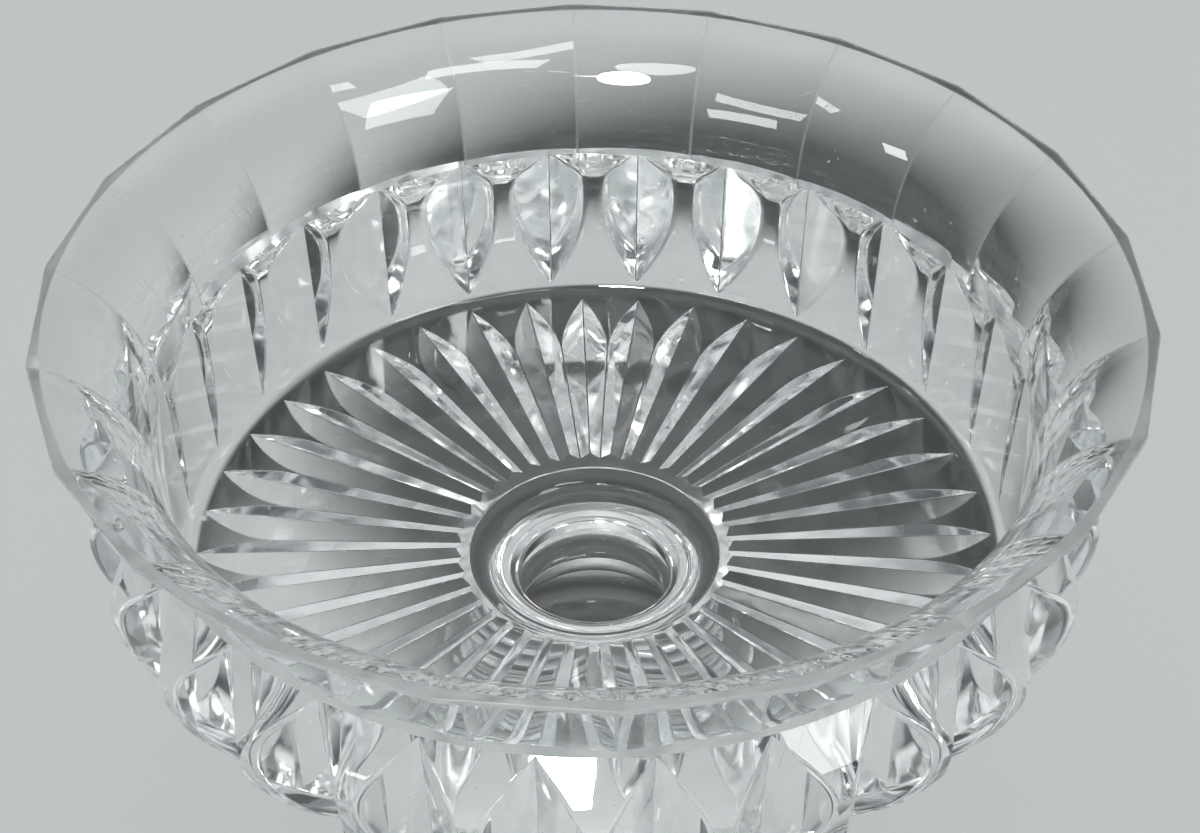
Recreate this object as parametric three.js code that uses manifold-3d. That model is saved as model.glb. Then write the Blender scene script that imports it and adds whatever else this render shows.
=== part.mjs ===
// Footed compote bowl in clear cut glass.
//
// Three glass pieces stand on one axis and are joined by two thin clear bonds:
// foot, foot_bond, stem, bowl_bond and bowl, from the table up.
//
// Millimetres, +Z up. The origin is the centre of the foot's standing ring.
// Turns are counted about +Z from the front (-Y) towards +X.

import * as THREE from 'three';
import { mergeVertices } from 'three/addons/utils/BufferGeometryUtils.js';
import Module from 'manifold-3d';

const { degToRad } = THREE.MathUtils;
const wasm = await Module();
wasm.setup();

// Bowl: thin flared wall, ground outside into flat panels
const RIM_RADIUS = 115;
const RIM_PANELS = 22;
const PANEL_TURN = degToRad(2.3);
const LIP_WIDTH = 2.6;
const LIP_HEIGHT = 1.4;
const FLARE_WIDTH = 20;
const FLARE_HEIGHT = 29.8;
const WALL_LEAN = degToRad(3);
const WALL_AT_SHOULDER = 4.7;

// Bowl: thick lower body, whose ledge carries the thin wall
const SHOULDER_HEIGHT = 44.5;
const LEDGE_WIDTH = 1.5;
const SHOULDER_SLOPE = degToRad(46);
const BELLY_BULGE = 9.6;
const BELLY_DROP = 14.5;
const BELLY_UNDERCUT = 36.3;
const FLOOR_THICKNESS = 7.3;
const CORNER_RADIUS = 3.2;

// Bowl: olives, the upright mitre cuts round the body
const OLIVES = 28;
const OLIVE_ANGLE = degToRad(90);
const OLIVE_FOOT_HEIGHT = 7;

// Bowl: star of mitre-cut rays under the floor
const RAYS = 40;
const RAY_TURN = degToRad(1.8);
const RAY_ANGLE = degToRad(118);
const RAY_DEPTH = 3.4;
const RAY_END_BEVEL = 2.8;

// Stem, from its foot up
const STEM_FOOT_RADIUS = 24;
const STEM_FOOT_EDGE = 1;
const STEM_FOOT_FLARE = 12;
const LOWER_NECK_LENGTH = 3;
const KNOP_HEIGHT = 18;
const KNOP_BULGE = 6;
const KNOP_SLOPE = degToRad(75);
const UPPER_NECK_LENGTH = 4;
const NECK_RADIUS = 17;
const STEM_TOP_FLARE = 13;
const STEM_TOP_EDGE = 1;
const STEM_TOP_RADIUS = 28;

// Foot
const FOOT_RADIUS = 62;
const FOOT_HEIGHT = 22;
const FOOT_EDGE = 5;
const STANDING_RING_WIDTH = 12;
const HOLLOW_DEPTH = 9;

// Bonds between the glass pieces
const BOND_THICKNESS = 0.3;
const BOND_INSET = 0.4;

// Facets of the round surfaces
const CAVITY_FACETS = 84;
const BODY_FACETS = 2 * OLIVES;
const STEM_FACETS = 40;
const FOOT_FACETS = 56;
const LONG_ARC_STEPS = 6;
const SHORT_ARC_STEPS = 4;

// How far a cutting tool runs past the glass, and the wall's blank into the body's
const OVERRUN = 4;
const TOP_OVERRUN = 1;
const BLANK_OVERLAP = 3;

// Angles on an arc: outward is 0 and up is a quarter turn
const UP = Math.PI / 2;
const INWARD = Math.PI;
const DOWN = -Math.PI / 2;

const cutGlass = () => new THREE.MeshStandardMaterial({
  color: 0xe6efee,
  roughness: 0.03,
  metalness: 0,
  transparent: true,
  opacity: 0.35,
});

const clearBond = () => new THREE.MeshStandardMaterial({
  color: 0xf2f4f0,
  roughness: 0.15,
  metalness: 0,
  transparent: true,
  opacity: 0.35,
});

// A point of a profile, by its radius and its height
const at = (radius, height) => new THREE.Vector2(radius, height);

// Elliptic arc of a profile: radii across and up, and the angles where it starts and ends
function arc(centre, radii, from, to, steps) {
  const curve = new THREE.EllipseCurve(centre.x, centre.y, radii.x, radii.y, from, to, to < from);
  return curve.getPoints(steps);
}

// Circular arc that leaves its lower end at a lean from the upright and bends outwards to its upper end
function flare(lower, upper, lean, steps) {
  const chord = upper.clone().sub(lower);
  const endLean = 2 * Math.atan2(chord.x, chord.y) - lean;
  const radius = chord.length() / (2 * Math.sin((endLean - lean) / 2));
  const centre = at(lower.x + radius * Math.cos(lean), lower.y - radius * Math.sin(lean));
  return arc(centre, at(radius, radius), INWARD - lean, INWARD - endLean, steps);
}

// Solid of revolution about Z, from a profile that runs upwards along its outside
function turned(profile, facets, turn = 0) {
  return new THREE.LatheGeometry(profile, facets, turn).rotateX(UP);
}

// V-shaped prism: its sharp edge runs along one direction from the start, and it opens along another
function mitre(start, along, opening, angle, reach, length) {
  const half = reach * Math.tan(angle / 2);
  const section = new THREE.Shape([at(0, 0), at(half, reach), at(-half, reach)]);
  const prism = new THREE.ExtrudeGeometry(section, { depth: length, bevelEnabled: false });
  const across = new THREE.Vector3().crossVectors(opening, along);
  const place = new THREE.Matrix4().makeBasis(across, opening, along).setPosition(start);
  return prism.applyMatrix4(place);
}

function toSolid(geometry) {
  const bare = geometry.clone();
  bare.deleteAttribute('normal');
  bare.deleteAttribute('uv');
  const merged = mergeVertices(bare);
  const mesh = new wasm.Mesh({
    numProp: 3,
    vertProperties: new Float32Array(merged.attributes.position.array),
    triVerts: new Uint32Array(merged.index.array),
  });
  return new wasm.Manifold(mesh);
}

function toGeometry(solid) {
  const mesh = solid.getMesh();
  const geometry = new THREE.BufferGeometry();
  geometry.setAttribute('position', new THREE.BufferAttribute(mesh.vertProperties, 3));
  geometry.setIndex(new THREE.BufferAttribute(mesh.triVerts, 1));
  geometry.computeVertexNormals();
  return geometry;
}

// Cuts one tool out of a solid again and again, evenly round the axis
function cutRound(solid, tool, count, turn) {
  let left = solid;
  for (let i = 0; i < count; i += 1) {
    const copy = tool.clone().rotateZ(turn + (i * 2 * Math.PI) / count);
    left = left.subtract(toSolid(copy));
  }
  return left;
}

function piece(name, geometry, material, height) {
  const mesh = new THREE.Mesh(geometry, material);
  mesh.name = name;
  mesh.position.z = height;
  return mesh;
}

// Points of the bowl's section, with its underside at height 0
const bowlHeight = SHOULDER_HEIGHT + FLARE_HEIGHT;
const lipInside = at(RIM_RADIUS - LIP_WIDTH, bowlHeight);
const lipUnder = at(RIM_RADIUS, bowlHeight - LIP_HEIGHT);
const wallInside = at(lipInside.x - FLARE_WIDTH, SHOULDER_HEIGHT);
const wallOutside = at(wallInside.x + WALL_AT_SHOULDER, SHOULDER_HEIGHT);
const ledge = at(wallOutside.x + LEDGE_WIDTH, SHOULDER_HEIGHT);
const belly = at(ledge.x + BELLY_BULGE, SHOULDER_HEIGHT - BELLY_DROP);

// The belly's two curves: the lower one runs in under the bowl, the upper one rounds off the sloping shoulder
const lowerRadii = at(BELLY_UNDERCUT, belly.y);
const lowerCentre = at(belly.x - lowerRadii.x, belly.y);
const shoulderSlack = BELLY_DROP * Math.cos(SHOULDER_SLOPE) - BELLY_BULGE * Math.sin(SHOULDER_SLOPE);
const shoulderRound = shoulderSlack / (1 - Math.sin(SHOULDER_SLOPE));
const upperRadii = at(shoulderRound, shoulderRound);
const upperCentre = at(belly.x - shoulderRound, belly.y);

function lowerCurveRadius(height) {
  const drop = (belly.y - height) / lowerRadii.y;
  return lowerCentre.x + lowerRadii.x * Math.sqrt(1 - drop * drop);
}

function bowlBlank() {
  const body = turned([
    at(0, 0),
    ...arc(lowerCentre, lowerRadii, DOWN, 0, LONG_ARC_STEPS),
    ...arc(upperCentre, upperRadii, 0, UP - SHOULDER_SLOPE, SHORT_ARC_STEPS).slice(1),
    ledge,
    at(0, SHOULDER_HEIGHT),
  ], BODY_FACETS);
  const panels = turned([
    at(0, SHOULDER_HEIGHT - BLANK_OVERLAP),
    at(wallOutside.x, SHOULDER_HEIGHT - BLANK_OVERLAP),
    ...flare(wallOutside, lipUnder, 0, LONG_ARC_STEPS),
    at(RIM_RADIUS, bowlHeight),
    at(0, bowlHeight),
  ], RIM_PANELS, PANEL_TURN);
  return toSolid(body).add(toSolid(panels));
}

function bowlCavity() {
  const floorRadius = wallInside.x - (SHOULDER_HEIGHT - FLOOR_THICKNESS) * Math.tan(WALL_LEAN);
  const cornerReach = CORNER_RADIUS * Math.tan((UP - WALL_LEAN) / 2);
  const cornerCentre = at(floorRadius - cornerReach, FLOOR_THICKNESS + CORNER_RADIUS);
  const cornerRadii = at(CORNER_RADIUS, CORNER_RADIUS);
  return toSolid(turned([
    at(0, FLOOR_THICKNESS),
    ...arc(cornerCentre, cornerRadii, DOWN, -WALL_LEAN, SHORT_ARC_STEPS),
    ...flare(wallInside, lipInside, WALL_LEAN, LONG_ARC_STEPS),
    at(lipInside.x, bowlHeight + OVERRUN),
    at(0, bowlHeight + OVERRUN),
  ], CAVITY_FACETS));
}

// The sharp bottom of an olive is a straight line from the ledge's edge to the underside of the belly.
function oliveCutter() {
  const top = new THREE.Vector3(0, -ledge.x, ledge.y);
  const foot = new THREE.Vector3(0, -lowerCurveRadius(OLIVE_FOOT_HEIGHT), OLIVE_FOOT_HEIGHT);
  const along = foot.clone().sub(top).normalize();
  const opening = new THREE.Vector3().crossVectors(along, new THREE.Vector3(1, 0, 0));
  const start = top.clone().addScaledVector(along, -TOP_OVERRUN);
  const length = TOP_OVERRUN + top.distanceTo(foot) + OVERRUN;
  return mitre(start, along, opening, OLIVE_ANGLE, BELLY_BULGE + LEDGE_WIDTH + OVERRUN, length);
}

// A ray runs in level from the belly's curve, which points its outer end, to a bevel round the stem's seat.
function rayCutter() {
  const start = new THREE.Vector3(0, -belly.x, RAY_DEPTH);
  const inward = new THREE.Vector3(0, 1, 0);
  const down = new THREE.Vector3(0, 0, -1);
  const groove = mitre(start, inward, down, RAY_ANGLE, RAY_DEPTH + OVERRUN, belly.x);
  const seatRadius = (height) => STEM_TOP_RADIUS + (height * RAY_END_BEVEL) / RAY_DEPTH;
  const low = -2 * OVERRUN;
  const high = RAY_DEPTH + OVERRUN;
  const seat = turned([at(0, low), at(seatRadius(low), low), at(seatRadius(high), high), at(0, high)], RAYS);
  return toGeometry(toSolid(groove).subtract(toSolid(seat)));
}

function bowlGeometry() {
  const shell = bowlBlank().subtract(bowlCavity());
  const withOlives = cutRound(shell, oliveCutter(), OLIVES, Math.PI / OLIVES);
  return toGeometry(cutRound(withOlives, rayCutter(), RAYS, RAY_TURN));
}

// Heights along the stem, from its own foot
const lowerNeck = STEM_FOOT_EDGE + STEM_FOOT_FLARE;
const knopCentre = lowerNeck + LOWER_NECK_LENGTH + KNOP_HEIGHT / 2;
const upperNeck = knopCentre + KNOP_HEIGHT / 2 + UPPER_NECK_LENGTH;
const stemHeight = upperNeck + STEM_TOP_FLARE + STEM_TOP_EDGE;

function stemGeometry() {
  const footFlare = at(STEM_FOOT_RADIUS - NECK_RADIUS, STEM_FOOT_FLARE);
  const topFlare = at(STEM_TOP_RADIUS - NECK_RADIUS, STEM_TOP_FLARE);
  const knop = at(KNOP_BULGE / (1 - Math.cos(KNOP_SLOPE)), KNOP_HEIGHT / 2 / Math.sin(KNOP_SLOPE));
  const knopAxis = NECK_RADIUS + KNOP_BULGE - knop.x;
  return turned([
    at(0, 0),
    at(STEM_FOOT_RADIUS, 0),
    ...arc(at(STEM_FOOT_RADIUS, lowerNeck), footFlare, INWARD + UP, INWARD, SHORT_ARC_STEPS),
    ...arc(at(knopAxis, knopCentre), knop, -KNOP_SLOPE, KNOP_SLOPE, LONG_ARC_STEPS),
    ...arc(at(STEM_TOP_RADIUS, upperNeck), topFlare, INWARD, UP, LONG_ARC_STEPS),
    at(STEM_TOP_RADIUS, stemHeight),
    at(0, stemHeight),
  ], STEM_FACETS);
}

function footGeometry() {
  const edge = FOOT_EDGE / 2;
  const edgeCentre = at(FOOT_RADIUS - edge, edge);
  const ringInside = edgeCentre.x - STANDING_RING_WIDTH;
  const hollowRadius = (ringInside ** 2 + HOLLOW_DEPTH ** 2) / (2 * HOLLOW_DEPTH);
  const hollowCentre = at(0, HOLLOW_DEPTH - hollowRadius);
  const hollowEnd = Math.acos(ringInside / hollowRadius);
  const hollow = arc(hollowCentre, at(hollowRadius, hollowRadius), UP, hollowEnd, LONG_ARC_STEPS);
  const sweep = at(edgeCentre.x - STEM_FOOT_RADIUS, FOOT_HEIGHT - FOOT_EDGE);
  return turned([
    at(0, HOLLOW_DEPTH),
    ...hollow.slice(1),
    ...arc(edgeCentre, at(edge, edge), DOWN, UP, SHORT_ARC_STEPS),
    ...arc(at(edgeCentre.x, FOOT_HEIGHT), sweep, INWARD + UP, INWARD, LONG_ARC_STEPS).slice(1),
    at(0, FOOT_HEIGHT),
  ], FOOT_FACETS);
}

function bondGeometry(radius) {
  const edge = radius - BOND_INSET;
  return turned([at(0, 0), at(edge, 0), at(edge, BOND_THICKNESS), at(0, BOND_THICKNESS)], STEM_FACETS);
}

const stemBase = FOOT_HEIGHT + BOND_THICKNESS;
const stemTop = stemBase + stemHeight;
const bowlBase = stemTop + BOND_THICKNESS;

const compote = new THREE.Group();
compote.add(piece('foot', footGeometry(), cutGlass(), 0));
compote.add(piece('foot_bond', bondGeometry(STEM_FOOT_RADIUS), clearBond(), FOOT_HEIGHT));
compote.add(piece('stem', stemGeometry(), cutGlass(), stemBase));
compote.add(piece('bowl_bond', bondGeometry(STEM_TOP_RADIUS), clearBond(), stemTop));
compote.add(piece('bowl', bowlGeometry(), cutGlass(), bowlBase));

export default compote;
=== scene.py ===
# Footed compote bowl in clear cut glass: the looks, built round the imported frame.
#
# Every glass piece is a fine closed skin, made from the same sizes as the CAD solids, with true normals
# on each surface. Sizes are in millimetres and become metres when a skin is made into a mesh.
# Turns are counted about +Z from the front (-Y) towards +X.

import math

import bpy
import numpy as np
from mathutils import Matrix, Quaternion, Vector


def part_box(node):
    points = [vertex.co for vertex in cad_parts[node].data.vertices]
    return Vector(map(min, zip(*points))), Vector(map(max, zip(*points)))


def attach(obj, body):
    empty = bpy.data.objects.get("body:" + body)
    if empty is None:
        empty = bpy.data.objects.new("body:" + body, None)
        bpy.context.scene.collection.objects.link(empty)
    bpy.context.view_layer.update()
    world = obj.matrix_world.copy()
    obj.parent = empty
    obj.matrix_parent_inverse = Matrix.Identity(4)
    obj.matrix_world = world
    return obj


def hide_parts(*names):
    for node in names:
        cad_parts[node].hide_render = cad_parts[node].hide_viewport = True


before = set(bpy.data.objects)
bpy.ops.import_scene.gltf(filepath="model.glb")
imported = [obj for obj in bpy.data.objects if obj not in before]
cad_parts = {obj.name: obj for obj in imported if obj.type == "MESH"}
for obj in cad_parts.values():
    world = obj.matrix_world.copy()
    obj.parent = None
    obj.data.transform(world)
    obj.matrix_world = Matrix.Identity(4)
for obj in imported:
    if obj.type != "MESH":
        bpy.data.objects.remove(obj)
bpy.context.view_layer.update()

MM = 0.001

# Bowl: flared wall and its flat outer panels
RIM_RADIUS = 115.0
RIM_PANELS = 22
PANEL_TURN = math.radians(2.3)
LIP_WIDTH = 2.6
LIP_HEIGHT = 1.4
FLARE_WIDTH = 20.0
FLARE_HEIGHT = 29.8
WALL_LEAN = math.radians(3)
WALL_AT_SHOULDER = 4.7

# Bowl: body
SHOULDER_HEIGHT = 44.5
LEDGE_WIDTH = 1.5
SHOULDER_SLOPE = math.radians(46)
BELLY_BULGE = 9.6
BELLY_DROP = 14.5
BELLY_UNDERCUT = 36.3
FLOOR_THICKNESS = 7.3
CORNER_RADIUS = 3.2

# Bowl: olives and star
OLIVES = 28
OLIVE_HALF_ANGLE = math.radians(45)
OLIVE_FOOT_HEIGHT = 7.0
RAYS = 40
RAY_TURN = math.radians(1.8)
RAY_HALF_ANGLE = math.radians(59)
RAY_DEPTH = 3.4
RAY_END_BEVEL = 2.8

# Stem, from its foot up
STEM_FOOT_RADIUS = 24.0
STEM_FOOT_EDGE = 1.0
STEM_FOOT_FLARE = 12.0
LOWER_NECK_LENGTH = 3.0
KNOP_HEIGHT = 18.0
KNOP_BULGE = 6.0
KNOP_SLOPE = math.radians(75)
UPPER_NECK_LENGTH = 4.0
NECK_RADIUS = 17.0
STEM_TOP_FLARE = 13.0
STEM_TOP_EDGE = 1.0
STEM_TOP_RADIUS = 28.0

# Foot and bonds
FOOT_RADIUS = 62.0
FOOT_HEIGHT = 22.0
FOOT_EDGE = 5.0
STANDING_RING_WIDTH = 12.0
HOLLOW_DEPTH = 9.0
BOND_THICKNESS = 0.3
BOND_INSET = 0.4

# Polished edges: how far each side of an edge is rounded off, and the flat left beside the rim's edges
EDGE_ROUND = 0.22
PANEL_ROUND = 0.35
OLIVE_ROUND = 1.6
VALLEY_ROUND = 0.18
RIM_ROUND = 0.35
RIM_FLAT = 0.5
ROUND_SHARE = 0.3

# Where the skin of the olives hands over to the skin of the star
OLIVE_SKIN_END = 5.8
STAR_SKIN_START = 4.6

# Steps of the skins
ROUND_COLUMNS = 240
PANEL_COLUMNS = 10
STEM_COLUMNS = 128
ARC_STEPS = 24
SHORT_STEPS = 8
OLIVE_COLUMNS = 3
LOBE_COLUMNS = 5
RAY_COLUMNS = 3
SPANDREL_COLUMNS = 3

# Points nearer than this, in metres, are one point
WELD = 1e-6

# Finishes of a skin's faces, by their place among its materials
POLISHED = 0
JOINT = 1
MOULDED = 2
CUT = 3
GROUND = 4

# Directions on a profile, as angles from outward
UP = math.pi / 2
INWARD = math.pi
DOWN = -math.pi / 2

# Glass. A range is the part of a noise in which a mark or a film grows from nothing to its full strength
GLASS_COLOUR = (0.95, 0.97, 0.967, 1.0)
GLASS_IOR = 1.53
CLOUD_SCALE = 38.0
CLOUD_RANGE = (0.4, 0.75)
SPECK_SCALE = 1300.0
SPECK_RANGE = (0.85, 0.88)
SPECK_STRENGTH = 0.8
SCRATCH_TURNS = (0.4, 1.9)
SCRATCH_SCALE = (40.0, 1700.0, 40.0)
SCRATCH_RANGE = (0.76, 0.80)
SCRATCH_STRENGTH = 0.5
MARK_ROUGHNESS = 0.6
WAVE_SCALE = 110.0

# Camera, from a fit of the cut pattern to the photograph
FRAME_WIDTH = 1200
SENSOR_WIDTH = 36.0
FOCAL_PIXELS = 2574.9
CAMERA_DISTANCE = 573.8
CAMERA_ELEVATION = 0.7572
TARGET_HEIGHT = 79.1
CAMERA_YAW = -0.0023
CAMERA_TILT = 0.0506
CAMERA_ROLL = 0.0035

# Floor, in metres. The gap keeps it apart from the standing ring's flat face
FLOOR_REACH = 4.0
FLOOR_GAP = 0.0001
FLOOR_ROUGHNESS = 0.6
FLOOR_TONE_SCALE = 6.0
FLOOR_TONES = (0.58, 0.60, 0.605, 1.0), (0.61, 0.63, 0.635, 1.0)

# Room: its colour at the floor's level, higher up, and round the direction of its ceiling
HORIZON_COLOUR = (0.55, 0.57, 0.58, 1.0)
UPPER_COLOUR = (0.07, 0.08, 0.085, 1.0)
UPPER_HEIGHT = 0.45
CEILING = (0.0, 0.3, 0.954)
CEILING_RANGE = (0.74, 0.86)
CEILING_COLOUR = (0.78, 0.80, 0.81, 1.0)
FAINT_LIGHT = 0.22

# Lamps: angles in degrees, lengths in metres. Azimuth is 0 in front and 90 at +X
LAMP_TARGET = Vector((0.0, 0.0, 0.1))
KEY_AZIMUTH = -8
KEY_ELEVATION = 40
KEY_WIDTH = 10.6
KEY_STRENGTH = 4.0
# Name, azimuth, elevation, distance, width and height, power
WINDOWS = [
    ("right_window", 50, 36, 1.2, (0.35, 0.4), 3.2),
    ("high_window", 33, 58, 1.3, (0.45, 0.15), 1.8),
    ("left_window", -38, 21, 1.2, (0.35, 0.15), 1.8),
    ("far_window", -80, 27, 1.2, (0.12, 0.12), 0.6),
]

BOUNCES = 32
GLOSSY_BOUNCES = 16


# Profiles: rows of radius, height, and the radial and upright parts of the normal

def rows_of(radius, height, normal_radius, normal_height):
    length = np.hypot(normal_radius, normal_height)
    return np.stack([radius, height, normal_radius / length, normal_height / length], axis=1)


def arc(centre, radii, start, end, steps, outside=1.0):
    """Elliptic arc. The normal points away from its centre, or towards it where outside is -1."""
    angle = np.linspace(start, end, steps + 1)
    cosine, sine = np.cos(angle), np.sin(angle)
    return rows_of(centre[0] + radii[0] * cosine, centre[1] + radii[1] * sine,
                   outside * cosine / radii[0], outside * sine / radii[1])


def line(start, end, steps=1):
    """Straight part, with its normal to the right of its direction."""
    share = np.linspace(0.0, 1.0, steps + 1)
    across, rise = end[0] - start[0], end[1] - start[1]
    return rows_of(start[0] + share * across, start[1] + share * rise,
                   np.full_like(share, rise), np.full_like(share, -across))


def flare(lower, upper, lean, outside):
    """Circular arc that leaves its lower end at a lean from the upright and bends out to its upper end."""
    across, rise = upper[0] - lower[0], upper[1] - lower[1]
    end_lean = 2 * math.atan2(across, rise) - lean
    radius = math.hypot(across, rise) / (2 * math.sin((end_lean - lean) / 2))
    centre = (lower[0] + radius * math.cos(lean), lower[1] - radius * math.sin(lean))
    return arc(centre, (radius, radius), INWARD - lean, INWARD - end_lean, ARC_STEPS, outside)


def pulled_in(end, neighbour, size):
    """A part's end row, moved along the part to leave room for a rounded edge."""
    step = neighbour - end
    row = end + step * min(ROUND_SHARE, size / math.hypot(step[0], step[1]))
    row[2:] /= math.hypot(row[2], row[3])
    return row


def rounded(parts, size):
    """Joins profile parts, with a narrow rounded strip in place of each edge between them."""
    joined = [part.copy() for part in parts]
    for before, after in zip(joined, joined[1:]):
        before[-1] = pulled_in(before[-1], before[-2], size)
        after[0] = pulled_in(after[0], after[1], size)
    return np.concatenate(joined)


def flipped(profile):
    """The same rows with their normals on the other side."""
    return profile * (1.0, 1.0, -1.0, -1.0)


# Skins

def placed(radius, angle, height):
    """Points at radii, turns and heights, which are arrays of one shape."""
    return np.stack([radius * np.sin(angle), -radius * np.cos(angle), height], axis=-1)


def revolved(profile, angle):
    """Points and normals of a profile turned to each angle."""
    turn, radius = np.meshgrid(angle, profile[:, 0])
    height = np.repeat(profile[:, 1:2], len(angle), axis=1)
    points = placed(radius, turn, height)
    normals = placed(np.repeat(profile[:, 2:3], len(angle), axis=1), turn,
                     np.repeat(profile[:, 3:4], len(angle), axis=1))
    return points, normals


def triangles(values, closed):
    """Triangles of a grid of values, rows by columns, which closes round the axis or not."""
    after = np.roll(values, -1, axis=1) if closed else values[:, 1:]
    here = values if closed else values[:, :-1]
    a, b, c, d = here[:-1], here[1:], after[1:], after[:-1]
    halves = np.stack([np.stack([a, b, c], axis=2), np.stack([a, c, d], axis=2)])
    return halves.reshape(-1, 3, 3)


def sorted_ring(points, normals):
    """Turn, point and normal of each different point of a ring, in order round the axis."""
    turn = np.arctan2(points[:, 0], -points[:, 1]) % (2 * math.pi)
    order = np.argsort(turn)
    turn, points, normals = turn[order], points[order], normals[order]
    fresh = np.linalg.norm(points - np.roll(points, 1, axis=0), axis=1) > WELD / MM
    return turn[fresh], points[fresh], normals[fresh]


class Skin:
    """Closed surface of one glass piece, gathered from patches of points with their own normals."""

    def __init__(self):
        self.corners = []
        self.normals = []
        self.finishes = []

    def add(self, corners, normals, finish):
        self.corners.append(corners)
        self.normals.append(normals)
        self.finishes.append(np.full(len(corners), finish, dtype=np.int32))

    def grid(self, points, normals, finish=POLISHED, closed=True):
        self.add(triangles(points, closed), triangles(normals, closed), finish)

    def cut_grid(self, points, normals, cut_columns):
        """Open grid whose first columns are cut and whose others are as moulded."""
        split = cut_columns + 1
        self.grid(points[:, :split], normals[:, :split], CUT, closed=False)
        self.grid(points[:, cut_columns:], normals[:, cut_columns:], MOULDED, closed=False)

    def turned(self, profile, finish=POLISHED, columns=STEM_COLUMNS):
        angle = np.arange(columns) * (2 * math.pi / columns)
        self.grid(*revolved(profile, angle), finish)

    def bridge(self, first_ring, second_ring, finish):
        """Band between two rings that have different counts of points."""
        first, second = sorted_ring(*first_ring), sorted_ring(*second_ring)
        counts = len(first[0]), len(second[0])
        picks = []
        i, j = 0, 0
        while i < counts[0] or j < counts[1]:
            next_first = first[0][(i + 1) % counts[0]] + 2 * math.pi * ((i + 1) // counts[0])
            next_second = second[0][(j + 1) % counts[1]] + 2 * math.pi * ((j + 1) // counts[1])
            corner = [(first, i % counts[0]), (second, j % counts[1])]
            if j == counts[1] or (i < counts[0] and next_first <= next_second):
                i += 1
                corner.append((first, i % counts[0]))
            else:
                j += 1
                corner.append((second, j % counts[1]))
            picks.append(corner)
        self.add(np.array([[ring[1][k] for ring, k in corner] for corner in picks]),
                 np.array([[ring[2][k] for ring, k in corner] for corner in picks]), finish)

    def piece(self, name, base, materials):
        """Object of the welded skin, raised to the base height in metres."""
        corners = np.concatenate(self.corners) * MM
        normals = np.concatenate(self.normals)
        finishes = np.concatenate(self.finishes)
        cells = np.rint(corners.reshape(-1, 3) / WELD).astype(np.int64)
        _, first, index = np.unique(cells, axis=0, return_index=True, return_inverse=True)
        points = corners.reshape(-1, 3)[first] + (0.0, 0.0, base)
        faces = index.reshape(-1, 3)
        whole = (faces != np.roll(faces, 1, axis=1)).all(axis=1)
        faces, normals, finishes = faces[whole], normals[whole], finishes[whole]
        a, b, c = (points[faces[:, k]] for k in range(3))
        turned_in = np.einsum("ij,ij->i", np.cross(b - a, c - a), normals.sum(axis=1)) < 0
        faces[turned_in] = faces[turned_in, ::-1]
        normals[turned_in] = normals[turned_in, ::-1]
        mesh = bpy.data.meshes.new(name)
        mesh.from_pydata(points.tolist(), [], faces.tolist())
        for material in materials:
            mesh.materials.append(material)
        mesh.polygons.foreach_set("material_index", finishes)
        mesh.polygons.foreach_set("use_smooth", np.ones(len(faces), dtype=bool))
        mesh.normals_split_custom_set(normals.reshape(-1, 3).tolist())
        made = bpy.data.objects.new(name, mesh)
        bpy.context.scene.collection.objects.link(made)
        return made


# Bowl

bowl_height = SHOULDER_HEIGHT + FLARE_HEIGHT
lip_inside = (RIM_RADIUS - LIP_WIDTH, bowl_height)
lip_under = (RIM_RADIUS, bowl_height - LIP_HEIGHT)
wall_inside = (lip_inside[0] - FLARE_WIDTH, SHOULDER_HEIGHT)
wall_outside = (wall_inside[0] + WALL_AT_SHOULDER, SHOULDER_HEIGHT)
ledge = (wall_outside[0] + LEDGE_WIDTH, SHOULDER_HEIGHT)
belly = (ledge[0] + BELLY_BULGE, SHOULDER_HEIGHT - BELLY_DROP)
lower_radii = (BELLY_UNDERCUT, belly[1])
lower_centre = (belly[0] - BELLY_UNDERCUT, belly[1])
shoulder_slack = BELLY_DROP * math.cos(SHOULDER_SLOPE) - BELLY_BULGE * math.sin(SHOULDER_SLOPE)
shoulder_round = shoulder_slack / (1 - math.sin(SHOULDER_SLOPE))
upper_centre = (belly[0] - shoulder_round, belly[1])


def lower_angle(height):
    """Angle on the belly's lower curve at a height."""
    return math.asin((height - lower_centre[1]) / lower_radii[1])


def lower_arc(start_height, end_height, steps):
    return arc(lower_centre, lower_radii, lower_angle(start_height), lower_angle(end_height), steps)


def add_cavity(skin):
    """Inside of the bowl, from the middle of its floor to the lip. Returns the lip's inner ring."""
    floor_radius = wall_inside[0] - (SHOULDER_HEIGHT - FLOOR_THICKNESS) * math.tan(WALL_LEAN)
    reach = CORNER_RADIUS * math.tan((UP - WALL_LEAN) / 2)
    centre = (floor_radius - reach, FLOOR_THICKNESS + CORNER_RADIUS)
    corner = arc(centre, (CORNER_RADIUS, CORNER_RADIUS), DOWN, -WALL_LEAN, SHORT_STEPS, outside=-1.0)
    floor = flipped(line((0.0, FLOOR_THICKNESS), (centre[0], FLOOR_THICKNESS)))
    wall = flipped(line(corner[-1], wall_inside, SHORT_STEPS))
    lip = flipped(line(lip_inside, (lip_inside[0] + RIM_FLAT, bowl_height)))
    side = rounded([flare(wall_inside, lip_inside, WALL_LEAN, 1.0), lip], RIM_ROUND)
    skin.turned(np.concatenate([floor, corner, wall, side[:-2]]), POLISHED, ROUND_COLUMNS)
    skin.turned(side[-3:], GROUND, ROUND_COLUMNS)
    angle = np.arange(ROUND_COLUMNS) * (2 * math.pi / ROUND_COLUMNS)
    points, normals = revolved(side[-1:], angle)
    return points[0], normals[0]


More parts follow.
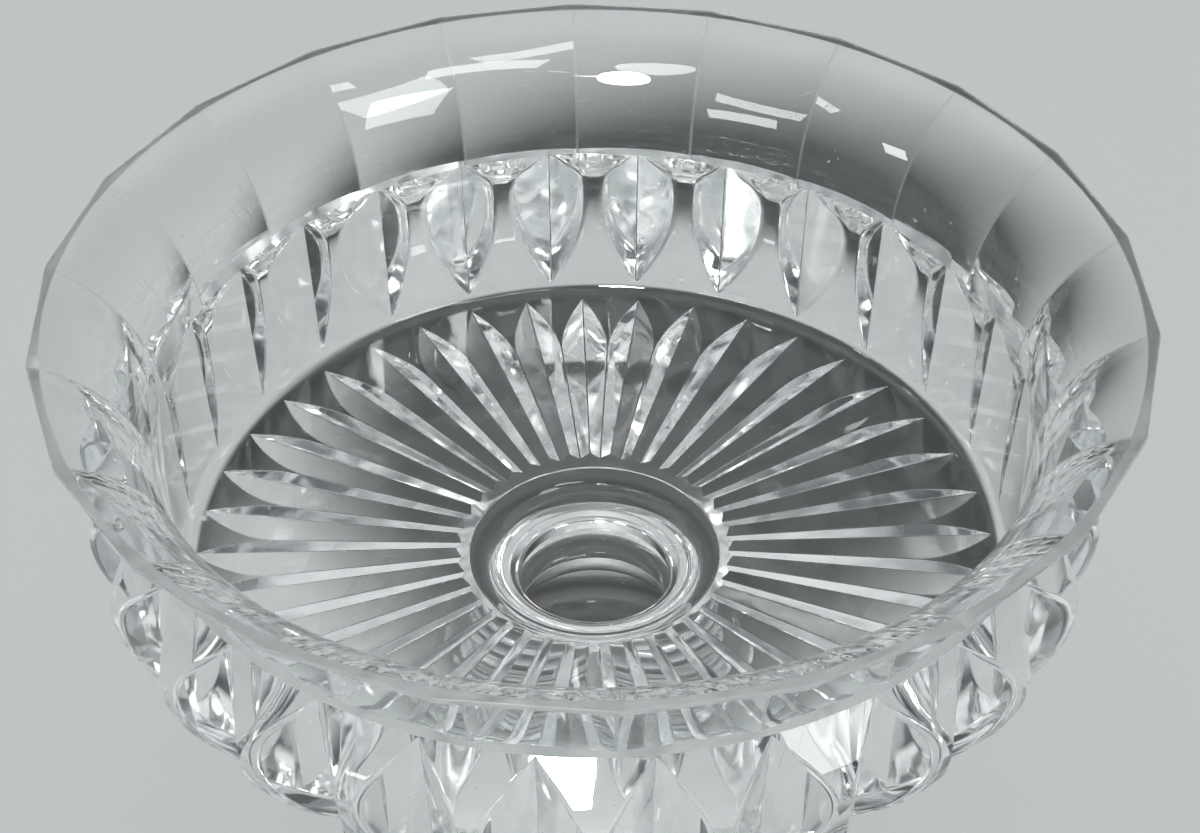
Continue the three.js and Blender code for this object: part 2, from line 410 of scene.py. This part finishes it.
def add_panels(skin):
    """Flat panels round the outside of the flared wall, with worn seams between them. Returns the rings at
    the lip and at the ledge."""
    half = math.pi / RIM_PANELS
    top = flipped(line((RIM_RADIUS - RIM_FLAT, bowl_height), (RIM_RADIUS, bowl_height)))
    edge = flipped(line((RIM_RADIUS, bowl_height), lip_under))
    side = flare(wall_outside, lip_under, 0.0, -1.0)[::-1]
    profile = rounded([top, edge, side], RIM_ROUND)
    middle = PANEL_TURN + half * (1 + 2 * np.arange(RIM_PANELS))
    radius, height = profile[:, :1], profile[:, 1:2]
    lines, directions = [], []
    for turn in middle:
        for share in np.linspace(-1.0, 1.0, PANEL_COLUMNS + 1):
            apothem = radius * math.cos(half)
            reach = share * (radius * math.sin(half) - PANEL_ROUND)
            angle = turn + np.arctan2(reach, apothem)
            lines.append(placed(np.hypot(apothem, reach), angle, height))
            directions.append(placed(profile[:, 2:3], np.full_like(radius, turn),
                                     profile[:, 3:] * math.cos(half)))
    points = np.concatenate(lines, axis=1)
    normals = np.concatenate(directions, axis=1)
    normals /= np.linalg.norm(normals, axis=2, keepdims=True)
    under_lip = len(top) + len(edge)
    skin.grid(points[:under_lip + 1], normals[:under_lip + 1], GROUND)
    columns = np.arange(points.shape[1]).reshape(RIM_PANELS, PANEL_COLUMNS + 1)
    for panel, after in zip(columns, np.roll(columns, -1, axis=0)):
        seam = [panel[-1], after[0]]
        skin.grid(points[under_lip:, panel], normals[under_lip:, panel], closed=False)
        skin.grid(points[under_lip:, seam], normals[under_lip:, seam], GROUND, closed=False)
    upward = np.zeros_like(normals[-1]) + (0.0, 0.0, 1.0)
    return (points[0], normals[0]), (points[-1], upward)


def cut_turns(radius, end, columns):
    """Turns across half of a cut, row by row: its valley, the end of the valley's narrow round, and on."""
    round_end = np.minimum(VALLEY_ROUND / radius, ROUND_SHARE * end)
    share = np.linspace(0.0, 1.0, columns + 1)
    facet = round_end[:, None] * (1 - share) + end[:, None] * share
    return np.concatenate([np.zeros((len(end), 1)), facet], axis=1)


def cut_normals(valley, facet, shape):
    """Normals of half a cut: the valley's in the first column and the facet's in the others."""
    normals = np.empty((*shape, 3))
    normals[:, 0] = valley / np.linalg.norm(valley)
    normals[:, 1:] = facet / np.linalg.norm(facet)
    return normals


def add_olives(skin):
    """Belly with its mitre-cut olives. Returns the rings at the ledge and at the foot of the belly."""
    shoulder = arc(upper_centre, (shoulder_round, shoulder_round), UP - SHOULDER_SLOPE, 0.0, ARC_STEPS // 2)
    profile = np.concatenate([
        flipped(line(ledge, shoulder[0], ARC_STEPS // 2)),
        shoulder[1:],
        lower_arc(belly[1], OLIVE_FOOT_HEIGHT, ARC_STEPS)[1:],
        lower_arc(OLIVE_FOOT_HEIGHT, OLIVE_SKIN_END, 1)[1:],
    ])
    radius, height = profile[:, 0], profile[:, 1]
    half_pitch = math.pi / OLIVES
    foot = lower_arc(OLIVE_FOOT_HEIGHT, OLIVE_FOOT_HEIGHT, 1)[0]
    along = Vector((foot[0] - ledge[0], foot[1] - ledge[1])).normalized()
    opening = (-along[1], along[0])
    spread = 1 / math.tan(OLIVE_HALF_ANGLE)
    start = ledge[0] * opening[0] + ledge[1] * opening[1]
    reach = math.hypot(opening[0], spread)
    slant = math.atan2(spread, opening[0])
    depth = np.clip((start - height * opening[1]) / (radius * reach), -1.0, 1.0)
    edge = np.maximum(np.arccos(depth) - slant, 0.0)
    edge[[0, -1]] = 0.0
    edge[height <= OLIVE_FOOT_HEIGHT] = 0.0
    inner_room = np.minimum(OLIVE_ROUND / radius, ROUND_SHARE * edge)
    outer_room = np.minimum(inner_room / 2, ROUND_SHARE * (half_pitch - edge))
    in_cut = cut_turns(radius, edge - inner_room, OLIVE_COLUMNS)
    past_cut = np.linspace(0.0, 1.0, LOBE_COLUMNS + 1)
    on_lobe = (edge + outer_room)[:, None] * (1 - past_cut) + half_pitch * past_cut
    cut_slope = opening[0] * np.cos(in_cut) - spread * np.sin(in_cut)
    cut_radius = np.minimum((start - height[:, None] * opening[1]) / cut_slope, radius[:, None])
    lobe_radius = np.repeat(radius[:, None], LOBE_COLUMNS + 1, axis=1)
    turn = np.concatenate([in_cut, on_lobe], axis=1)
    distance = np.concatenate([cut_radius, lobe_radius], axis=1)
    level = np.repeat(height[:, None], turn.shape[1], axis=1)
    for olive in range(OLIVES):
        centre = (2 * olive + 1) * half_pitch
        for side in (-1, 1):
            points = placed(distance, centre + side * turn, level)
            valley = placed(np.array(opening[0]), np.array(centre), np.array(opening[1]))
            facet = valley - side * spread * np.array((math.cos(centre), math.sin(centre), 0.0))
            cut = cut_normals(valley, facet, in_cut.shape)
            lobe = placed(np.repeat(profile[:, 2:3], LOBE_COLUMNS + 1, axis=1), centre + side * on_lobe,
                          np.repeat(profile[:, 3:], LOBE_COLUMNS + 1, axis=1))
            skin.cut_grid(points, np.concatenate([cut, lobe], axis=1), in_cut.shape[1] - 1)
    ledge_ring = ring_of_revolution(profile[0], OLIVES, on_lobe[0])
    belly_ring = ring_of_revolution(profile[-1], OLIVES, on_lobe[-1])
    return ledge_ring, belly_ring


def ring_of_revolution(row, count, turns, first=None):
    """Ring of one profile row, with columns at turns to both sides of each of a count of centres."""
    pitch = 2 * math.pi / count
    centres = (pitch / 2 if first is None else first) + pitch * np.arange(count)
    angle = (centres[:, None] + np.concatenate([-turns, turns])).ravel()
    points, normals = revolved(row[None], angle)
    return points[0], normals[0]


def add_star(skin):
    """Underside with its star of mitre-cut rays, in to the stem's seat. Returns the outer ring."""
    half_pitch = math.pi / RAYS
    spread = 1 / math.tan(RAY_HALF_ANGLE)
    bevel = RAY_END_BEVEL / RAY_DEPTH
    profile = np.concatenate([
        lower_arc(STAR_SKIN_START, RAY_DEPTH, 2),
        lower_arc(RAY_DEPTH, 0.0, ARC_STEPS)[1:],
        line((lower_centre[0], 0.0), (STEM_TOP_RADIUS + 2 * RAY_END_BEVEL, 0.0), SHORT_STEPS)[1:],
    ])
    profile[-SHORT_STEPS:, 2:] = (0.0, -1.0)
    radius, height = profile[:, 0], profile[:, 1]
    edge = np.arcsin(np.clip((RAY_DEPTH - height) / (radius * spread), 0.0, 1.0))
    ridge = edge >= half_pitch
    edge = np.minimum(edge, half_pitch)
    room = np.minimum(EDGE_ROUND / radius, ROUND_SHARE * edge)
    outer_room = np.where(ridge, 0.0, np.minimum(room, ROUND_SHARE * (half_pitch - edge)))
    in_cut = cut_turns(radius, edge - room, RAY_COLUMNS)
    past_cut = np.linspace(0.0, 1.0, SPANDREL_COLUMNS + 1)
    on_belly = (edge + outer_room)[:, None] * (1 - past_cut) + half_pitch * past_cut
    cut_height = np.maximum(RAY_DEPTH - radius[:, None] * np.sin(in_cut) * spread, height[:, None])
    belly_height = np.where(ridge, cut_height[:, -1], height)[:, None].repeat(SPANDREL_COLUMNS + 1, axis=1)
    turn = np.concatenate([in_cut, on_belly], axis=1)
    level = np.concatenate([cut_height, belly_height], axis=1)
    distance = np.repeat(radius[:, None], turn.shape[1], axis=1)
    # The last row runs to where each column meets the bevel round the seat
    slope = np.sin(np.minimum(turn[-1], in_cut[-1, -1])) * spread
    distance = np.vstack([distance, (STEM_TOP_RADIUS + bevel * RAY_DEPTH) / (1 + bevel * slope)])
    level = np.vstack([level, RAY_DEPTH - distance[-1] * slope])
    turn = np.vstack([turn, turn[-1]])
    normal_radius = np.append(profile[:, 2], 0.0)
    normal_height = np.append(profile[:, 3], -1.0)
    cut_columns = in_cut.shape[1] - 1
    seat = rows_of(np.full(2, STEM_TOP_RADIUS), np.zeros(2), np.ones(2), np.full(2, -bevel))
    for ray in range(RAYS):
        centre = RAY_TURN + 2 * half_pitch * ray
        for side in (-1, 1):
            points = placed(distance, centre + side * turn, level)
            facet = np.array((-side * spread * math.cos(centre), -side * spread * math.sin(centre), -1.0))
            cut = cut_normals(np.array((0.0, 0.0, -1.0)), facet, (len(turn), cut_columns + 1))
            uncut = turn[:, cut_columns + 1:]
            flat = placed(np.repeat(normal_radius[:, None], uncut.shape[1], axis=1), centre + side * uncut,
                          np.repeat(normal_height[:, None], uncut.shape[1], axis=1))
            skin.cut_grid(points, np.concatenate([cut, flat], axis=1), cut_columns)
            inner, facing = revolved(seat, centre + side * turn[-1])
            inner[0] = points[-1]
            skin.grid(inner, facing, CUT, closed=False)
            middle = np.zeros_like(inner)
            middle[0] = inner[1]
            skin.grid(middle, np.broadcast_to((0.0, 0.0, -1.0), middle.shape), JOINT, closed=False)
    return ring_of_revolution(profile[0], RAYS, on_belly[0], RAY_TURN)


def bowl(*finishes):
    skin = Skin()
    lip_ring = add_cavity(skin)
    rim_ring, wall_ring = add_panels(skin)
    ledge_ring, belly_ring = add_olives(skin)
    star_ring = add_star(skin)
    upward = np.zeros_like(ledge_ring[0]) + (0.0, 0.0, 1.0)
    skin.bridge(lip_ring, rim_ring, GROUND)
    skin.bridge(wall_ring, (ledge_ring[0], upward), GROUND)
    skin.bridge(belly_ring, star_ring, MOULDED)
    return skin.piece("cut_bowl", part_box("bowl")[0].z, finishes)


# Stem, foot and bonds

def stem(glass, joint):
    lower_neck = STEM_FOOT_EDGE + STEM_FOOT_FLARE
    knop_centre = lower_neck + LOWER_NECK_LENGTH + KNOP_HEIGHT / 2
    upper_neck = knop_centre + KNOP_HEIGHT / 2 + UPPER_NECK_LENGTH
    top = upper_neck + STEM_TOP_FLARE + STEM_TOP_EDGE
    foot_flare = (STEM_FOOT_RADIUS - NECK_RADIUS, STEM_FOOT_FLARE)
    top_flare = (STEM_TOP_RADIUS - NECK_RADIUS, STEM_TOP_FLARE)
    knop = (KNOP_BULGE / (1 - math.cos(KNOP_SLOPE)), KNOP_HEIGHT / 2 / math.sin(KNOP_SLOPE))
    knop_axis = NECK_RADIUS + KNOP_BULGE - knop[0]
    skin = Skin()
    skin.turned(line((0.0, 0.0), (STEM_FOOT_RADIUS, 0.0)), JOINT)
    skin.turned(rounded([
        line((STEM_FOOT_RADIUS, 0.0), (STEM_FOOT_RADIUS, STEM_FOOT_EDGE)),
        arc((STEM_FOOT_RADIUS, lower_neck), foot_flare, INWARD + UP, INWARD, ARC_STEPS, outside=-1.0),
        line((NECK_RADIUS, lower_neck), (NECK_RADIUS, lower_neck + LOWER_NECK_LENGTH)),
        arc((knop_axis, knop_centre), knop, -KNOP_SLOPE, KNOP_SLOPE, 2 * ARC_STEPS),
        line((NECK_RADIUS, upper_neck - UPPER_NECK_LENGTH), (NECK_RADIUS, upper_neck)),
        arc((STEM_TOP_RADIUS, upper_neck), top_flare, INWARD, UP, ARC_STEPS, outside=-1.0),
        line((STEM_TOP_RADIUS, top - STEM_TOP_EDGE), (STEM_TOP_RADIUS, top)),
    ], EDGE_ROUND))
    skin.turned(flipped(line((0.0, top), (STEM_TOP_RADIUS, top))), JOINT)
    return skin.piece("turned_stem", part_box("stem")[0].z, [glass, joint])


def foot(glass, joint):
    edge = FOOT_EDGE / 2
    edge_centre = (FOOT_RADIUS - edge, edge)
    ring_inside = edge_centre[0] - STANDING_RING_WIDTH
    hollow = (ring_inside ** 2 + HOLLOW_DEPTH ** 2) / (2 * HOLLOW_DEPTH)
    hollow_end = math.acos(ring_inside / hollow)
    sweep = (edge_centre[0] - STEM_FOOT_RADIUS, FOOT_HEIGHT - FOOT_EDGE)
    skin = Skin()
    skin.turned(np.concatenate([
        arc((0.0, HOLLOW_DEPTH - hollow), (hollow, hollow), UP, hollow_end, ARC_STEPS, outside=-1.0),
        line((ring_inside, 0.0), (edge_centre[0], 0.0), SHORT_STEPS),
        arc(edge_centre, (edge, edge), DOWN, UP, ARC_STEPS),
        arc((edge_centre[0], FOOT_HEIGHT), sweep, INWARD + UP, INWARD, 2 * ARC_STEPS, outside=-1.0),
    ]))
    skin.turned(flipped(line((0.0, FOOT_HEIGHT), (STEM_FOOT_RADIUS, FOOT_HEIGHT))), JOINT)
    return skin.piece("spread_foot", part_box("foot")[0].z, [glass, joint])


def bond(name, node, radius, clear, joint):
    edge = radius - BOND_INSET
    skin = Skin()
    skin.turned(line((0.0, 0.0), (edge, 0.0)), JOINT)
    skin.turned(line((edge, 0.0), (edge, BOND_THICKNESS)))
    skin.turned(flipped(line((0.0, BOND_THICKNESS), (edge, BOND_THICKNESS))), JOINT)
    return skin.piece(name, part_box(node)[0].z, [clear, joint])


# Materials

def shader(name):
    """A new material, its node tree's nodes and links, and its main shader."""
    material = bpy.data.materials.new(name)
    material.use_nodes = True
    tree = material.node_tree
    return material, tree.nodes, tree.links, tree.nodes["Principled BSDF"]


def clear_glass(name, roughness, film, wave=0.0, worn=False):
    """Clear glass. Roughness grows by up to film in a faint cloudy pattern, and wave is the height in
    metres of a slow waviness left by the mould or the wheel. Worn glass has fine scratches and specks."""
    material, nodes, links, principled = shader(name)
    principled.inputs["Base Color"].default_value = GLASS_COLOUR
    principled.inputs["Transmission Weight"].default_value = 1.0
    principled.inputs["IOR"].default_value = GLASS_IOR
    place = nodes.new("ShaderNodeTexCoord").outputs["Object"]
    cloud = noise(nodes, links, place, CLOUD_SCALE, detail=4.0)
    rough = mapped(nodes, links, cloud, *CLOUD_RANGE, roughness, roughness + film)
    if worn:
        marks = wear_marks(nodes, links, place)
        extra = mapped(nodes, links, marks, 0.0, 1.0, 0.0, MARK_ROUGHNESS)
        rough = combined(nodes, links, "ADD", rough, extra)
    links.new(rough, principled.inputs["Roughness"])
    if wave:
        bump = nodes.new("ShaderNodeBump")
        bump.inputs["Distance"].default_value = wave
        links.new(noise(nodes, links, place, WAVE_SCALE, detail=1.0), bump.inputs["Height"])
        links.new(bump.outputs["Normal"], principled.inputs["Normal"])
    return material


def wear_marks(nodes, links, place):
    """Mask of fine scratches in two directions and of small specks."""
    speck = noise(nodes, links, place, SPECK_SCALE, detail=0.0)
    marks = mapped(nodes, links, speck, *SPECK_RANGE, 0.0, SPECK_STRENGTH)
    for turn in SCRATCH_TURNS:
        turned = nodes.new("ShaderNodeMapping")
        turned.inputs["Rotation"].default_value = (0.0, 0.0, turn)
        turned.inputs["Scale"].default_value = SCRATCH_SCALE
        links.new(place, turned.inputs["Vector"])
        streak = noise(nodes, links, turned.outputs["Vector"], 1.0, detail=1.0)
        scratch = mapped(nodes, links, streak, *SCRATCH_RANGE, 0.0, SCRATCH_STRENGTH)
        marks = combined(nodes, links, "MAXIMUM", marks, scratch)
    return marks


def combined(nodes, links, operation, first, second):
    node = nodes.new("ShaderNodeMath")
    node.operation = operation
    links.new(first, node.inputs[0])
    links.new(second, node.inputs[1])
    return node.outputs["Value"]


def noise(nodes, links, place, scale, detail):
    texture = nodes.new("ShaderNodeTexNoise")
    texture.inputs["Scale"].default_value = scale
    texture.inputs["Detail"].default_value = detail
    links.new(place, texture.inputs["Vector"])
    return texture.outputs["Fac"]


def mapped(nodes, links, value, low, high, first, last):
    """A value from low to high, mapped to first to last and held at the ends."""
    node = nodes.new("ShaderNodeMapRange")
    node.inputs["From Min"].default_value = low
    node.inputs["From Max"].default_value = high
    node.inputs["To Min"].default_value = first
    node.inputs["To Max"].default_value = last
    links.new(value, node.inputs["Value"])
    return node.outputs["Result"]


def joint_glass():
    """Faces where two pieces meet in optical contact, which light passes straight through."""
    material = bpy.data.materials.new("optical_joint")
    material.use_nodes = True
    nodes, links = material.node_tree.nodes, material.node_tree.links
    nodes.remove(nodes["Principled BSDF"])
    clear = nodes.new("ShaderNodeBsdfTransparent")
    links.new(clear.outputs["BSDF"], nodes["Material Output"].inputs["Surface"])
    return material


def floor_material():
    material, nodes, links, principled = shader("pale_floor")
    principled.inputs["Roughness"].default_value = FLOOR_ROUGHNESS
    place = nodes.new("ShaderNodeTexCoord").outputs["Generated"]
    tone = nodes.new("ShaderNodeValToRGB")
    for element, colour in zip(tone.color_ramp.elements, FLOOR_TONES):
        element.color = colour
    links.new(noise(nodes, links, place, FLOOR_TONE_SCALE, detail=2.0), tone.inputs["Fac"])
    links.new(tone.outputs["Color"], principled.inputs["Base Color"])
    return material


# Stage, light and camera

def make_floor():
    mesh = bpy.data.meshes.new("floor")
    corners = [(-1, -1), (1, -1), (1, 1), (-1, 1)]
    points = [(x * FLOOR_REACH, y * FLOOR_REACH, -FLOOR_GAP) for x, y in corners]
    mesh.from_pydata(points, [], [(0, 1, 2, 3)])
    mesh.materials.append(floor_material())
    floor = bpy.data.objects.new("floor", mesh)
    bpy.context.scene.collection.objects.link(floor)


def make_world():
    """Room that is pale at the level of the floor, dark above in front and white above and behind. It lights
    the floor only faintly, so that the floor keeps the shadow, and is seen as written by the camera and in
    and through the glass."""
    world = bpy.data.worlds.new("studio")
    bpy.context.scene.world = world
    world.use_nodes = True
    nodes, links = world.node_tree.nodes, world.node_tree.links
    place = nodes.new("ShaderNodeTexCoord").outputs["Generated"]
    split = nodes.new("ShaderNodeSeparateXYZ")
    tone = nodes.new("ShaderNodeValToRGB")
    low, high = tone.color_ramp.elements
    low.position, low.color = 0.0, HORIZON_COLOUR
    high.position, high.color = UPPER_HEIGHT, UPPER_COLOUR
    links.new(place, split.inputs["Vector"])
    links.new(split.outputs["Z"], tone.inputs["Fac"])
    towards = nodes.new("ShaderNodeVectorMath")
    towards.operation = "DOT_PRODUCT"
    towards.inputs[1].default_value = CEILING
    links.new(place, towards.inputs[0])
    room = nodes.new("ShaderNodeMixRGB")
    room.inputs["Color2"].default_value = CEILING_COLOUR
    links.new(mapped(nodes, links, towards.outputs["Value"], *CEILING_RANGE, 0.0, 1.0), room.inputs["Fac"])
    links.new(tone.outputs["Color"], room.inputs["Color1"])
    links.new(room.outputs["Color"], nodes["Background"].inputs["Color"])
    path = nodes.new("ShaderNodeLightPath")
    diffuse = mapped(nodes, links, path.outputs["Is Diffuse Ray"], 0.0, 1.0, 1.0, FAINT_LIGHT)
    links.new(diffuse, nodes["Background"].inputs["Strength"])


def lamp(light, azimuth, elevation, distance, power):
    """Puts a light to face the bowl."""
    turn, rise = math.radians(azimuth), math.radians(elevation)
    outward = Vector((math.sin(turn) * math.cos(rise), -math.cos(turn) * math.cos(rise), math.sin(rise)))
    light.energy = power
    made = bpy.data.objects.new(light.name, light)
    made.location = LAMP_TARGET + outward * distance
    made.rotation_mode = "QUATERNION"
    made.rotation_quaternion = outward.to_track_quat("Z", "Y")
    bpy.context.scene.collection.objects.link(made)
    return made


def make_lamps():
    """A round key lamp, so far away that it lights the whole floor evenly, and window-like lamps that show
    in and through the glass but don't light the floor."""
    key = bpy.data.lights.new("front_key", "SUN")
    key.angle = math.radians(KEY_WIDTH)
    lamp(key, KEY_AZIMUTH, KEY_ELEVATION, 1.0, KEY_STRENGTH)
    for name, azimuth, elevation, distance, size, power in WINDOWS:
        window = bpy.data.lights.new(name, "AREA")
        window.shape = "RECTANGLE"
        window.size, window.size_y = size
        lamp(window, azimuth, elevation, distance, power).visible_diffuse = False


def make_camera():
    """Camera of the fit: on its orbit about the axis, then turned a little about its own axes."""
    target = Vector((0.0, 0.0, TARGET_HEIGHT * MM))
    back = Vector((0.0, -math.cos(CAMERA_ELEVATION), math.sin(CAMERA_ELEVATION)))
    forward, right = -back, Vector((1.0, 0.0, 0.0))
    upward = right.cross(forward)
    yaw = Quaternion(upward, CAMERA_YAW)
    forward, right = yaw @ forward, yaw @ right
    tilt = Quaternion(right, CAMERA_TILT)
    forward, upward = tilt @ forward, tilt @ upward
    roll = Quaternion(forward, CAMERA_ROLL)
    right, upward = roll @ right, roll @ upward
    data = bpy.data.cameras.new("camera")
    data.sensor_width = SENSOR_WIDTH
    data.lens = FOCAL_PIXELS * SENSOR_WIDTH / FRAME_WIDTH
    camera = bpy.data.objects.new("camera", data)
    turn = Matrix((right, upward, -forward)).transposed().to_4x4()
    camera.matrix_world = Matrix.Translation(target + back * CAMERA_DISTANCE * MM) @ turn
    bpy.context.scene.collection.objects.link(camera)
    bpy.context.scene.camera = camera


def main():
    joint = joint_glass()
    bowl_glass = clear_glass("bowl_glass", roughness=0.0, film=0.02, worn=True)
    moulded = clear_glass("moulded_glass", roughness=0.03, film=0.03, wave=0.00012)
    cut = clear_glass("cut_facets", roughness=0.05, film=0.08, wave=0.00008)
    ground = clear_glass("ground_glass", roughness=0.3, film=0.2, wave=0.0001)
    stem_glass = clear_glass("stem_glass", roughness=0.0, film=0.02)
    foot_glass = clear_glass("foot_glass", roughness=0.0, film=0.04, worn=True)
    clear_bond = clear_glass("clear_bond", roughness=0.02, film=0.02)
    pieces = [
        (bowl(bowl_glass, joint, moulded, cut, ground), "bowl", "bowl_glass"),
        (stem(stem_glass, joint), "stem", "stem_glass"),
        (foot(foot_glass, joint), "foot", "foot_glass"),
        (bond("bowl_joint", "bowl_bond", STEM_TOP_RADIUS, clear_bond, joint), "bowl_bond", "clear_bond"),
        (bond("foot_joint", "foot_bond", STEM_FOOT_RADIUS, clear_bond, joint), "foot_bond", "clear_bond"),
    ]
    for piece, node, slot in pieces:
        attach(piece, "root")
        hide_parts(node)
    # Light reaches the floor through the plain clear pieces, which would otherwise look black
    for piece, _, _ in pieces[1:]:
        piece.visible_shadow = False
    make_floor()
    make_world()
    make_lamps()
    make_camera()
    scene = bpy.context.scene
    scene.view_settings.view_transform = "Standard"
    scene.cycles.max_bounces = BOUNCES
    scene.cycles.transmission_bounces = BOUNCES
    scene.cycles.glossy_bounces = GLOSSY_BOUNCES
    scene.cycles.transparent_max_bounces = BOUNCES
    scene.cycles.caustics_refractive = False
    scene.cycles.caustics_reflective = False


main()
